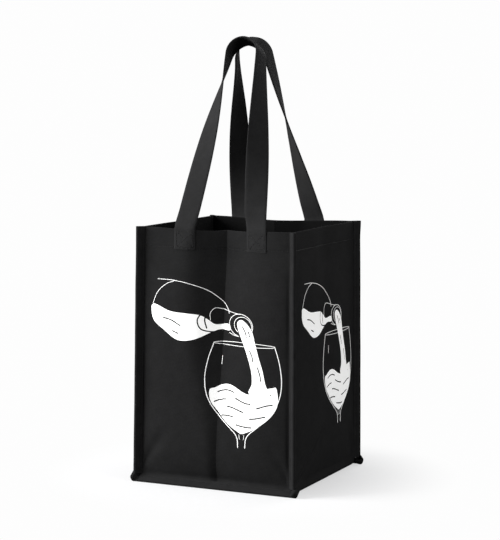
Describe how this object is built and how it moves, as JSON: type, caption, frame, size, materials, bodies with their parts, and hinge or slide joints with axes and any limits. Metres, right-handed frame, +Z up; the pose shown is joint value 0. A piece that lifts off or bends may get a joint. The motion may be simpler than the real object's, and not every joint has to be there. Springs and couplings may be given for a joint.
{
  "type": "wine gift bag",
  "caption": "Square stand-up gift tote of black non-woven fabric with divided bottle compartments, bound seams, strap handles and a loose base board.",
  "frame": {"origin": "middle of the base, on the floor", "axes": "+Z up, -Y towards the printed front panel, +X towards the right-hand gusset as the front is seen"},
  "size_m": [0.1904, 0.194, 0.4854],
  "materials": {
    "nonwoven": "matte",
    "binding": "matte",
    "strap": "matte",
    "thread": "satin",
    "board": "matte",
    "print": "matte"
  },
  "bodies": {
    "bag": {"front_panel": "nonwoven", "rear_panel": "nonwoven", "gusset_strip": "nonwoven", "front_left_binding": "binding", "front_right_binding": "binding", "rear_left_binding": "binding", "rear_right_binding": "binding", "front_bottom_binding": "binding", "rear_bottom_binding": "binding", "centre_divider": "nonwoven", "left_divider": "nonwoven", "right_divider": "nonwoven", "left_hem_stitch": "thread", "right_hem_stitch": "thread", "front_hem_stitch": "thread", "rear_hem_stitch": "thread", "front_left_strap_end": "strap", "front_right_strap_end": "strap", "rear_left_strap_end": "strap", "rear_right_strap_end": "strap", "front_left_patch_stitch": "thread", "front_right_patch_stitch": "thread", "rear_left_patch_stitch": "thread", "rear_right_patch_stitch": "thread"},
    "front_handle": {"front_handle_loop": "strap"},
    "rear_handle": {"rear_handle_loop": "strap"},
    "loose_board": {"base_board": "board"}
  },
  "joints": [
    {"name": "front_handle_swing", "type": "hinge", "parent": "bag", "child": "front_handle", "pos_m": [0, -0.0919, 0.28], "axis": [1, 0, 0], "range_deg": [0, 194]},
    {"name": "rear_handle_swing", "type": "hinge", "parent": "bag", "child": "rear_handle", "pos_m": [0, 0.0919, 0.28], "axis": [-1, 0, 0], "range_deg": [0, 194]},
    {"name": "base_board_lift", "type": "slide", "parent": "bag", "child": "loose_board", "axis": [0, 0, 1], "range_m": [0, 0.025]}
  ]
}
